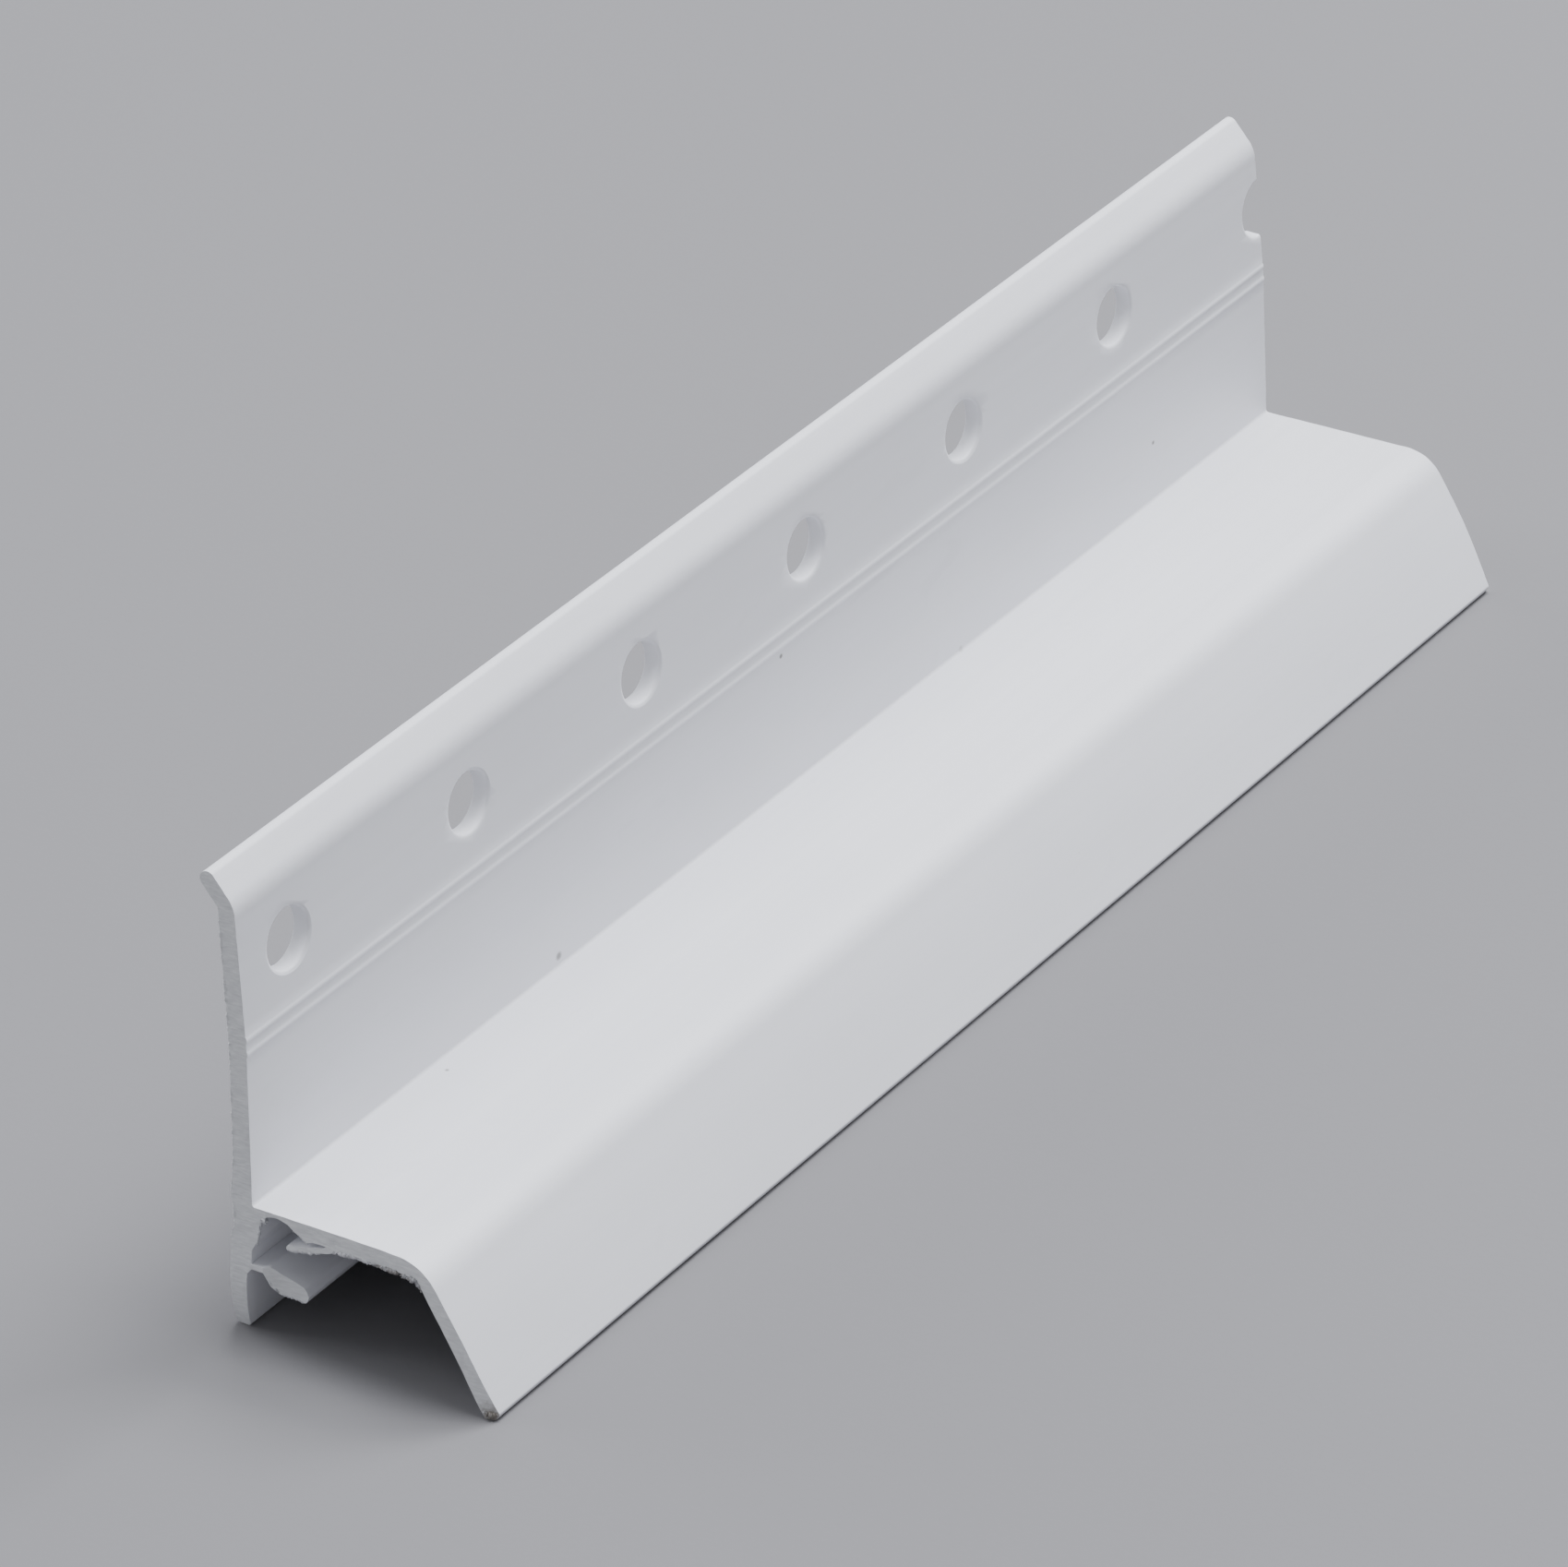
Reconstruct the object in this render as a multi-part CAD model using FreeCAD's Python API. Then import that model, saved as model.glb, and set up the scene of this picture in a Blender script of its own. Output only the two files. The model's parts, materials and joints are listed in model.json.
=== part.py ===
"""Door sweep: a flanged plastic profile with a hinged drip hood. Millimetres, +Z up, +Y toward the door."""
import FreeCAD, Part
import math
import os

# --- whole profile -------------------------------------------------------------------
LEFT_END = -78.93          # sawn ends, where the plate's face meets the hood's top
RIGHT_END = 79.17
HEIGHT_TO_HOOD = 12.5      # hood's level top above the surface that the profile stands on
FACE_Y = 10.0              # front face of the back plate, so that the profile is centred on Y
SKIN = 1.5                 # hood's wall at its level top
WALL = 1.7                 # wall of the back plate

# --- sawn ends: how far each one leans in per millimetre of height, and per millimetre toward the door ---
LEFT_LEAN = 0.045
LEFT_SKEW = -0.025
RIGHT_LEAN = 0.030
RIGHT_SKEW = -0.008

OVERRUN = 5.0              # extra length that is sawn off at each end

# --- fixing flange -------------------------------------------------------------------
SCORE_HEIGHT = 14.85       # middle of the two fine ribs, above the hood's top
SCORE_SPACING = 1.3        # from rib to rib
RIB_PROUD = 0.22           # how far a rib stands out
RIB_HALF_WIDTH = 0.25
FLANGE_TOP = 27.35         # lip's bending line, above the hood's top
FLANGE_LEAN = 0.70         # how far the front face has leaned back at that height
HOLE_DIAMETER = 5.5
HOLE_PITCH = 25.0
HOLE_HEIGHT = 21.5         # above the hood's top
FIRST_HOLE = 7.55          # from the left-hand end, measured at the hood's top
HOLE_COUNT = 7             # the seventh is cut through by the right-hand end

# --- top lip -------------------------------------------------------------------------
LIP_WALL = 1.5
LIP_REACH = 2.75           # from the bending line to the centre of the rounded edge
LIP_ANGLE = 40.0           # back from vertical, degrees
SEAT_CLEARANCE = 0.05

# --- hood ----------------------------------------------------------------------------
WEB_START = 1.3            # thin web over the round recess, measured out from the plate's face
WEB_END = 3.5
WEB_ROOT = 0.6             # web's thickness at either side
WEB_THIN = 0.42            # and in its middle
HOOD_CORNER = 17.0         # where the level top and the skirt would meet
BEND_OUTSIDE = 3.2
BEND_INSIDE = 1.8
SKIRT_SWEEP = 60.0         # large radius that rounds the skirt outward

# --- strip socket --------------------------------------------------------------------
TONGUE_ROOT = (-7.5, -1.85)
TONGUE_TIP = (-3.5, -2.85)
TONGUE_WALL = 0.5
TONGUE_BEAD = 0.32
NECK_TOP = -5.52
NECK_BOTTOM = -6.05
NECK_OUTER = -0.85


def at(out, up):
    """A point of the section: out is toward the door from the plate's face, up is from the hood's top."""
    return FreeCAD.Vector(0, FACE_Y + out, HEIGHT_TO_HOOD + up)


def corner_cut(before, corner, after, radius):
    """Where a rounded corner starts, its middle and where it ends."""
    a = (before - corner).normalize()
    b = (after - corner).normalize()
    half = a.getAngle(b) / 2
    along = radius / math.tan(half)
    bisector = (a + b).normalize()
    centre = corner + bisector * (radius / math.sin(half))
    return corner + a * along, centre - bisector * radius, corner + b * along


def outline(corners):
    """A closed wire through (out, up, radius) corners, each rounded by its radius."""
    points = [at(c[0], c[1]) for c in corners]
    count = len(points)
    cuts = []
    for i in range(count):
        if corners[i][2] > 0:
            cuts.append(corner_cut(points[i - 1], points[i], points[(i + 1) % count], corners[i][2]))
        else:
            cuts.append((points[i], None, points[i]))
    edges = []
    for i in range(count):
        start, middle, end = cuts[i]
        if middle is not None:
            edges.append(Part.Arc(start, middle, end).toShape())
        next_start = cuts[(i + 1) % count][0]
        if (next_start - end).Length > 1e-6:
            edges.append(Part.makeLine(end, next_start))
    return Part.Wire(edges)


def saw_face(end, side, lean, skew):
    """The plane of one sawn end, as a rectangle well outside the section."""
    corners = []
    for out, up in ((-32, -18), (12, -18), (12, 38), (-32, 38)):
        inward = lean * up + skew * out
        corners.append(at(out, up) + FreeCAD.Vector(end - side * inward, 0, 0))
    return Part.makePolygon(corners + corners[:1])


def between_saw_cuts():
    """The space between the two sawn ends."""
    left = saw_face(LEFT_END, -1, LEFT_LEAN, LEFT_SKEW)
    right = saw_face(RIGHT_END, 1, RIGHT_LEAN, RIGHT_SKEW)
    return Part.makeLoft([left, right], True, True)


def run(wire):
    """The wire drawn out along X, and sawn off at both ends."""
    solid = Part.Face(wire).extrude(FreeCAD.Vector(RIGHT_END - LEFT_END + 2 * OVERRUN, 0, 0))
    solid.translate(FreeCAD.Vector(LEFT_END - OVERRUN, 0, 0))
    return solid.common(between_saw_cuts())


def capsule(start, end, wall):
    """Section of a blade with both edges rounded, as a wire."""
    a = at(*start)
    b = at(*end)
    along = (b - a).normalize()
    side = FreeCAD.Vector(0, -along.z, along.y) * (wall / 2)
    edges = [
        Part.makeLine(a + side, b + side),
        Part.Arc(b + side, b + along * (wall / 2), b - side).toShape(),
        Part.makeLine(b - side, a - side),
        Part.Arc(a - side, a - along * (wall / 2), a + side).toShape(),
    ]
    return Part.Wire(edges)


def rod(centre, radius):
    """A round bar along X, sawn off as the profile is."""
    middle = at(*centre)
    a = middle + FreeCAD.Vector(0, radius, 0)
    b = middle - FreeCAD.Vector(0, radius, 0)
    up = middle + FreeCAD.Vector(0, 0, radius)
    down = middle - FreeCAD.Vector(0, 0, radius)
    return run(Part.Wire([Part.Arc(a, up, b).toShape(), Part.Arc(b, down, a).toShape()]))


def lip_root():
    """The lip's bending line, half a wall behind the flange's front face."""
    return (FLANGE_LEAN + LIP_WALL / 2, FLANGE_TOP)


def lip_tip():
    angle = math.radians(LIP_ANGLE)
    root = lip_root()
    return (root[0] + LIP_REACH * math.sin(angle), root[1] + LIP_REACH * math.cos(angle))


def rib(up, side_low, side_high):
    """Corners of one fine rib on the front face, from its upper edge to its lower one."""
    return [
        (side_high, up + RIB_HALF_WIDTH, 0),
        ((side_low + side_high) / 2 - RIB_PROUD, up, 0.12),
        (side_low, up - RIB_HALF_WIDTH, 0),
    ]


def holes():
    """Round cutters through the flange, square to the back plate."""
    cutters = []
    for i in range(HOLE_COUNT):
        x = LEFT_END + FIRST_HOLE + i * HOLE_PITCH
        base = at(-5, HOLE_HEIGHT) + FreeCAD.Vector(x, 0, 0)
        cutters.append(Part.makeCylinder(HOLE_DIAMETER / 2, 12, base, FreeCAD.Vector(0, 1, 0)))
    return cutters


def flange_front(up):
    """Front face of the leaning flange at a height."""
    return FLANGE_LEAN * (up - SCORE_HEIGHT) / (FLANGE_TOP - SCORE_HEIGHT)


def fixing_flange():
    up = SCORE_HEIGHT + SCORE_SPACING / 2
    low = flange_front(up - RIB_HALF_WIDTH)
    high = flange_front(up + RIB_HALF_WIDTH)
    top = FLANGE_TOP + 0.6
    corners = [(0, SCORE_HEIGHT, 0), (WALL, SCORE_HEIGHT, 0)]
    corners += [(flange_front(top) + 1.6, top, 0), (flange_front(top), top, 0)]
    corners += rib(up, low, high)
    flange = run(outline(corners))
    seat = LIP_WALL / 2 + SEAT_CLEARANCE
    flange = flange.cut(rod(lip_root(), seat))
    flange = flange.cut(run(capsule(lip_root(), lip_tip(), 2 * seat)))
    flange = flange.cut(above_bending_line())
    for cutter in holes():
        flange = flange.cut(cutter)
    return flange


def above_bending_line():
    """Everything above the lip's bending line."""
    base = at(-5, FLANGE_TOP) + FreeCAD.Vector(LEFT_END - OVERRUN, 0, 0)
    return Part.makeBox(RIGHT_END - LEFT_END + 2 * OVERRUN, 12, 5, base)


def back_plate():
    up = SCORE_HEIGHT - SCORE_SPACING / 2
    corners = [(1.45, -12.5, 0.35), (2.85, -12.5, 0.35), (2.2, -3.0, 0.2)]
    corners += [(1.85, -2.4, 0.2), (1.85, -0.4, 0.2), (2.15, 0.4, 0.4), (WALL, 4.0, 8.0)]
    corners += [(WALL, SCORE_HEIGHT, 0), (0, SCORE_HEIGHT, 0)]
    corners += rib(up, 0, 0)
    corners += [(0, 0, 0), (-WEB_START, 0, 0), (-WEB_START, -WEB_ROOT, 0)]
    corners += [(-1.15, -0.95, 0.08), (-0.8, -0.9, 0.1), (-0.6, -1.9, 0.6), (-0.45, -3.1, 0.6)]
    corners += [(0.2, -4.2, 0.6), (0.3, NECK_TOP, 0), (0.3, NECK_BOTTOM, 0), (0.5, -7.4, 1.5)]
    return run(outline(corners))


def top_lip():
    return run(capsule(lip_root(), lip_tip(), LIP_WALL))


def hood_web():
    middle = -(WEB_START + WEB_END) / 2
    arch = Part.Arc(at(-WEB_END, -WEB_ROOT), at(middle, -WEB_THIN), at(-WEB_START, -WEB_ROOT)).toShape()
    edges = [
        arch,
        Part.makeLine(at(-WEB_START, -WEB_ROOT), at(-WEB_START, 0)),
        Part.makeLine(at(-WEB_START, 0), at(-WEB_END, 0)),
        Part.makeLine(at(-WEB_END, 0), at(-WEB_END, -WEB_ROOT)),
    ]
    return run(Part.Wire(edges))


def drip_hood():
    corners = [(-WEB_END, -WEB_ROOT, 0), (-WEB_END, 0, 0), (-HOOD_CORNER, 0, BEND_OUTSIDE)]
    corners += [(-20.9, -6.2, SKIRT_SWEEP), (-24.02, -11.9, 0.3), (-23.65, -12.5, 0.2), (-22.7, -12.5, 0.2)]
    corners += [(-19.7, -6.9, SKIRT_SWEEP), (-16.3, -SKIN, BEND_INSIDE)]
    corners += [(-6.0, -SKIN, 0), (-5.3, -1.75, 0.3), (-4.2, -1.1, 0.8)]
    return run(outline(corners))


def hood_tongue():
    blade = run(capsule(TONGUE_ROOT, TONGUE_TIP, TONGUE_WALL))
    return blade.fuse(rod(TONGUE_TIP, TONGUE_BEAD)).removeSplitter()


def shelf_web():
    corners = [(NECK_OUTER, NECK_BOTTOM, 0), (0.3, NECK_BOTTOM, 0), (0.3, NECK_TOP, 0), (NECK_OUTER, NECK_TOP, 0)]
    return run(outline(corners))


def retaining_shelf():
    corners = [(NECK_OUTER, NECK_BOTTOM, 0), (NECK_OUTER, NECK_TOP, 0), (-1.3, -5.45, 0.3)]
    corners += [(-2.3, -6.1, 1.0), (-4.4, -6.9, 0.3), (-4.75, -7.7, 0.3), (-4.45, -8.3, 0.2)]
    corners += [(-2.1, -8.05, 0.5), (-1.35, -7.4, 0.5)]
    return run(outline(corners))


NODES = {
    "fixing_flange": fixing_flange,
    "back_plate": back_plate,
    "top_lip": top_lip,
    "hood_web": hood_web,
    "drip_hood": drip_hood,
    "hood_tongue": hood_tongue,
    "shelf_web": shelf_web,
    "retaining_shelf": retaining_shelf,
}


def main():
    os.makedirs("parts", exist_ok=True)
    for name, make in NODES.items():
        shape = make()
        if shape.ShapeType == "Compound" and len(shape.Solids) == 1:
            shape = shape.Solids[0]
        if not shape.isValid() or len(shape.Solids) != 1:
            raise RuntimeError(name + " is not one valid solid")
        shape.exportStep("parts/" + name + ".step")
        box = shape.BoundBox
        print(name, round(shape.Volume, 2), [round(v, 2) for v in (box.YMin, box.YMax, box.ZMin, box.ZMax)])


main()
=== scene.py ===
import json
import math

import bmesh
import bpy
from bpy.props import FloatProperty, FloatVectorProperty, IntProperty, PointerProperty
from mathutils import Matrix, Vector, noise
from mathutils.geometry import delaunay_2d_cdt


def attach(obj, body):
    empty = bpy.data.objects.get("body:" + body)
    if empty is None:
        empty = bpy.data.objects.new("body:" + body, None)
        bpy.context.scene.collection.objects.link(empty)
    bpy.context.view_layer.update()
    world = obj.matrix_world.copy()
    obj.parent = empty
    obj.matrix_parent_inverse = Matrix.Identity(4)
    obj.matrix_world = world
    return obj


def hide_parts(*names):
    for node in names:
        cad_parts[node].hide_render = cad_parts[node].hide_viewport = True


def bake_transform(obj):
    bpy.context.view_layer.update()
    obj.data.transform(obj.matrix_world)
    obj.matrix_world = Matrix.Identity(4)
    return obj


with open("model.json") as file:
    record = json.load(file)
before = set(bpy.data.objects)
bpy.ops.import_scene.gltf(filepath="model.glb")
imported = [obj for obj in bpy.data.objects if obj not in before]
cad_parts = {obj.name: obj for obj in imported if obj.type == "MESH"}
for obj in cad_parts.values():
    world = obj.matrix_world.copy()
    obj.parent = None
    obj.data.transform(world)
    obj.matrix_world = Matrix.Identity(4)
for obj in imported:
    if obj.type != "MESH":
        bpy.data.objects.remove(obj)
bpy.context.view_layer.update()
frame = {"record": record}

bl_info = {
    "name": "Door Sweep Profile",
    "version": (1, 0, 0),
    "blender": (4, 5, 0),
    "location": "3D View > Sidebar > Door Sweep",
    "description": "Builds a sawn length of flanged white plastic door sweep "
                   "with a hinged drip hood",
    "category": "Object",
}

MM = 0.001

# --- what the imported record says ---
MOUNTS = {m["name"]: m for m in frame["record"]["mounts"]}
PATTERN = MOUNTS["screw_holes_outer"]
MIDDLE_PAIR = MOUNTS["screw_holes_inner"]
HOLE_RADIUS = PATTERN["dims"]["hole_r_mm"] * MM
HOLE_PITCH = MIDDLE_PAIR["dims"]["spacing_x_mm"] * MM
FIRST_HOLE_X = PATTERN["pos_m"][0] - PATTERN["dims"]["spacing_x_mm"] * MM / 2
HOLE_Z = PATTERN["pos_m"][2]

# --- the section, in mm: out goes from the plate's face toward the door, up from the hood's top ---
WALL = 1.7
HOLE_UP = 21.5
FACE_Y = MOUNTS["door_face"]["pos_m"][1] - WALL * MM
TOP_Z = HOLE_Z - HOLE_UP * MM
SCORE_UP = 14.85
SCORE_SPACING = 1.3
RIB_PROUD = 0.15
RIB_HALF_WIDTH = 0.33
RIB_CREST_RADIUS = 0.5
FLANGE_TOP = 27.35
FLANGE_LEAN = 0.70
FLANGE_SLOPE = FLANGE_LEAN / (FLANGE_TOP - SCORE_UP)
FLANGE_WALL = 1.6
LIP_SPLIT = 26.3
LIP_BEND = 2.8
SKIN = 1.5
WEB_START, WEB_END = 1.3, 3.5
WEB_ROOT, WEB_THIN = 0.6, 0.42
WEB_ARC_LIFT, WEB_ARC_RADIUS = 0.18, 2.0
NECK_TOP, NECK_BOTTOM, NECK_OUTER = -5.52, -6.05, -0.85
SKIRT_REACH = 24.0
SKIRT_TIP = (-23.4, -12.2)

# --- how finely the section is drawn, and where its shading turns sharp ---
ARC_STEP = math.radians(6)
SAME_SPOT = 1e-4
SHARP_ANGLE = math.radians(38)

# --- the saw cuts: X where each crosses the plate's face at the hood's top, how far it leans in
# with height and toward the door, and which way along X is outward ---
SAW = {
    "left": (-78.93 * MM, 0.045, -0.025, -1),
    "right": (79.17 * MM, 0.030, -0.008, 1),
}

# --- where the cuts stray, in mm. The left-hand ends of the shelf and the foot are torn back ---
SHELF_TORN, SHELF_TEAR_LENGTH = 0.9, 1.2
FOOT_TORN, FOOT_TORN_FROM = 1.2, -6.2
# The hood stands proud: from how far out, its slope, its most, and from where it dies away
HOOD_PROUD = {"left": (13.0, 0.07, 0.35, 21.0), "right": (1.2, 0.066, 1.02, 17.0)}
HOOD_FADE = 2.2

# --- the rough sawn faces: slant and grain of the tooth marks, and the mesh that carries them ---
TOOTH_COS, TOOTH_SIN = 0.94, 0.34
LINE_SHARE, GRAIN_SHARE, RIM_SHARE = 0.9, 0.6, 0.6
SAWN_SLOT = 1
MERGE_GAP = 0.005 * MM
FLUSH_GAP = 0.006 * MM
GRID_JITTER, JITTER_GRAIN, JITTER_SEED = 0.35, 3700.0, 7
GRID_CLEARANCE = 0.45


def place(out, up):
    """A section point in metres, as (y, z)."""
    return FACE_Y + out * MM, TOP_Z + up * MM


def point(out, up, x=0.0):
    return Vector((x, *place(out, up)))


# --- the two marks on the plate's face: place, strength and outer radius in mm ---
BLEMISHES = [(point(0.0, 1.0, -35.55 * MM), 0.85, 0.5), (point(0.0, 0.25, 26.8 * MM), 0.35, 0.4)]
BLEMISH_CORE = 0.4


def flange_front(up):
    """How far the leaning flange's front face is back at a height."""
    return FLANGE_SLOPE * (up - SCORE_UP)


def rib(up, low, high):
    """One fine rib on the front face, from its upper edge down."""
    crest = (low + high) / 2 - RIB_PROUD
    upper, lower = up + RIB_HALF_WIDTH, up - RIB_HALF_WIDTH
    return [(high, upper, 0), (crest, up, RIB_CREST_RADIUS), (low, lower, 0)]


# --- section corners as (out, up, corner radius), going round with the plastic on the left ---
def flange_section():
    up = SCORE_UP + SCORE_SPACING / 2
    top = flange_front(LIP_SPLIT)
    corners = [(0, SCORE_UP, 0), (WALL, SCORE_UP, 0)]
    corners += [(top + FLANGE_WALL, LIP_SPLIT, 0), (top, LIP_SPLIT, 0)]
    return corners + rib(up, flange_front(up - RIB_HALF_WIDTH), flange_front(up + RIB_HALF_WIDTH))


def wall_section():
    corners = [(1.45, -12.5, 0.35), (2.85, -12.5, 0.35), (2.2, -3.0, 0.2), (1.85, -2.4, 0.2)]
    corners += [(1.85, -0.4, 0.2), (2.15, 0.4, 0.4), (WALL, 4.0, 8.0), (WALL, SCORE_UP, 0)]
    corners += [(0, SCORE_UP, 0)] + rib(SCORE_UP - SCORE_SPACING / 2, 0, 0)
    corners += [(0, 0, 0.3), (-WEB_START, 0, 0), (-WEB_START, -WEB_ROOT, 0), (-1.15, -0.95, 0.08)]
    corners += [(-0.8, -0.9, 0.1), (-0.6, -1.9, 0.6), (-0.45, -3.1, 0.6), (0.2, -4.2, 0.6)]
    return corners + [(0.3, NECK_TOP, 0), (0.3, NECK_BOTTOM, 0), (0.78, -6.6, 0.3)]


def lip_section():
    front = flange_front(LIP_SPLIT)
    corners = [(front, LIP_SPLIT, 0), (front + FLANGE_WALL, LIP_SPLIT, 0), (2.287, 27.18, 0.4)]
    return corners + [(4.275, 29.55, 0.72), (3.125, 30.51, 0.72), (0.716, 27.643, LIP_BEND)]


def hood_neck_section():
    middle = (WEB_START + WEB_END) / 2
    corners = [(-WEB_START, -WEB_ROOT, 0), (-WEB_START, 0, 0), (-WEB_END, 0, 0)]
    crown = (-middle, -WEB_THIN + WEB_ARC_LIFT, WEB_ARC_RADIUS)
    return corners + [(-WEB_END, -WEB_ROOT, 0), crown]


def hood_section():
    corners = [(-WEB_END, -WEB_ROOT, 0), (-WEB_END, 0, 0), (-17.0, 0, 4.2), (-20.9, -6.2, 60.0)]
    corners += [(-24.02, -11.9, 0.3), (-23.65, -12.5, 0.2), (-22.7, -12.5, 0.2)]
    corners += [(-19.7, -6.9, 60.0), (-16.3, -SKIN, 1.8), (-6.0, -SKIN, 0)]
    return corners + [(-5.3, -1.75, 0.3), (-4.2, -1.1, 0.8)]


def tongue_section():
    corners = [(-8.7, -1.46, 0), (-8.3, -1.75, 0.3), (-7.4, -2.12, 1.0), (-3.6, -3.12, 0.2)]
    corners += [(-3.2, -2.95, 0.2), (-3.4, -2.55, 0.2), (-3.9, -2.52, 0.3)]
    return corners + [(-7.0, -1.75, 0.4), (-7.3, -1.46, 0)]


def shelf_neck_section():
    corners = [(NECK_OUTER, NECK_BOTTOM, 0), (0.3, NECK_BOTTOM, 0)]
    return corners + [(0.3, NECK_TOP, 0), (NECK_OUTER, NECK_TOP, 0)]


def shelf_section():
    corners = [(NECK_OUTER, NECK_BOTTOM, 0), (NECK_OUTER, NECK_TOP, 0)]
    corners += [(-1.3, -5.45, 0.3), (-2.3, -6.1, 1.0), (-4.4, -6.9, 0.3)]
    corners += [(-4.75, -7.7, 0.3), (-4.45, -8.3, 0.2)]
    return corners + [(-2.1, -8.05, 0.5), (-1.35, -7.4, 0.5)]


def rounded_corner(before, corner, after, radius):
    """Points of the arc that rounds one corner."""
    a = (before - corner).normalized()
    b = (after - corner).normalized()
    half = a.angle(b) / 2
    centre = corner + (a + b).normalized() * (radius / math.sin(half))
    start = corner + a * (radius / math.tan(half)) - centre
    end = corner + b * (radius / math.tan(half)) - centre
    turn = start.angle_signed(end)
    steps = max(2, math.ceil(abs(turn) / ARC_STEP))
    return [centre + Matrix.Rotation(-turn * k / steps, 2) @ start for k in range(steps + 1)]


def outline(corners, longest):
    """A dense closed outline in millimetres: arcs at rounded corners, straight runs divided."""
    spots = [Vector(c[:2]) for c in corners]
    ring = []
    for i, corner in enumerate(corners):
        if corner[2] > 0:
            after = spots[(i + 1) % len(spots)]
            ring.append(rounded_corner(spots[i - 1], spots[i], after, corner[2]))
        else:
            ring.append([spots[i]])
    dense = []
    for i, run in enumerate(ring):
        dense += run
        end, start = run[-1], ring[(i + 1) % len(ring)][0]
        pieces = max(1, math.ceil((start - end).length / longest))
        dense += [end.lerp(start, k / pieces) for k in range(1, pieces)]
    return [p for i, p in enumerate(dense) if (p - dense[i - 1]).length > SAME_SPOT]


# --- Geometry Nodes ---
STATIONS = 80
WAVINESS = 0.00012
WAVE_GRAIN = (22.0, 90.0, 90.0)
NOISE_MEAN = (0.5, 0.5, 0.5)
FRONT_RIM, BACK_RIM = 0.0003, 0.00007
PUNCH_SIDES, PUNCH_RINGS, PUNCH_LENGTH = 72, 44, 0.0032
RIDGE_GRAIN, TEAR_GRAIN = 1700.0, 5200.0
RIDGE_SIDES, TEAR_STRENGTH = 7, 3.0
FLAKE_LEAST, FLAKE_MOST = (0.3, 0.3, 0.2), (1.8, 1.1, 0.5)


class Tree:
    """A short way to write a Geometry Nodes tree."""

    def __init__(self, name, inputs):
        self.tree = bpy.data.node_groups.new(name, "GeometryNodeTree")
        face = self.tree.interface
        face.new_socket(name="Geometry", in_out="OUTPUT", socket_type="NodeSocketGeometry")
        face.new_socket(name="Geometry", in_out="INPUT", socket_type="NodeSocketGeometry")
        for label, kind, default, words in inputs:
            socket = face.new_socket(name=label, in_out="INPUT", socket_type="NodeSocket" + kind)
            socket.description = words
            if default is not None:
                socket.default_value = default
        self.start = self.tree.nodes.new("NodeGroupInput")
        self.end = self.tree.nodes.new("NodeGroupOutput")

    def node(self, kind, *values, **settings):
        """Adds a node: values go to its inputs in order or by name, as links or numbers."""
        made = self.tree.nodes.new(kind)
        inputs = settings.pop("inputs", {})
        for key, value in settings.items():
            setattr(made, key, value)
        for key, value in list(enumerate(values)) + list(inputs.items()):
            if isinstance(value, bpy.types.NodeSocket):
                self.tree.links.new(value, made.inputs[key])
            else:
                made.inputs[key].default_value = value
        return made

    def given(self, name):
        return self.start.outputs[name]

    def math(self, operation, *values):
        return self.node("ShaderNodeMath", *values, operation=operation).outputs[0]

    def vector(self, operation, *values):
        return self.node("ShaderNodeVectorMath", *values, operation=operation).outputs[0]

    def scaled(self, vector, factor):
        return self.node("ShaderNodeVectorMath", vector, operation="SCALE",
                         inputs={"Scale": factor}).outputs[0]

    def position(self):
        return self.node("GeometryNodeInputPosition").outputs[0]

    def moved(self, geometry, offset):
        return self.node("GeometryNodeSetPosition", geometry, inputs={"Offset": offset}).outputs[0]

    def noise(self, where, scale, detail):
        return self.node("ShaderNodeTexNoise", where, inputs={"Scale": scale, "Detail": detail})

    def random(self, low, high, seed):
        return self.node("FunctionNodeRandomValue", low, high, data_type="FLOAT_VECTOR",
                         inputs={"Seed": seed}).outputs[0]

    def finish(self, geometry):
        real = self.node("GeometryNodeRealizeInstances", geometry)
        painted = self.node("GeometryNodeSetMaterial", real.outputs[0],
                            inputs={"Material": self.given("Material")})
        self.tree.links.new(painted.outputs[0], self.end.inputs[0])
        return self.tree


def saw_line(tree, side, out, up):
    """Nodes for where one saw cut crosses a section point."""
    lean = tree.math("MULTIPLY", up, tree.given(side + " Lean"))
    skew = tree.math("MULTIPLY", out, tree.given(side + " Skew"))
    inward = tree.math("ADD", lean, skew)
    return tree.math("SUBTRACT" if side == "Right" else "ADD", tree.given(side + " End"), inward)


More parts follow.
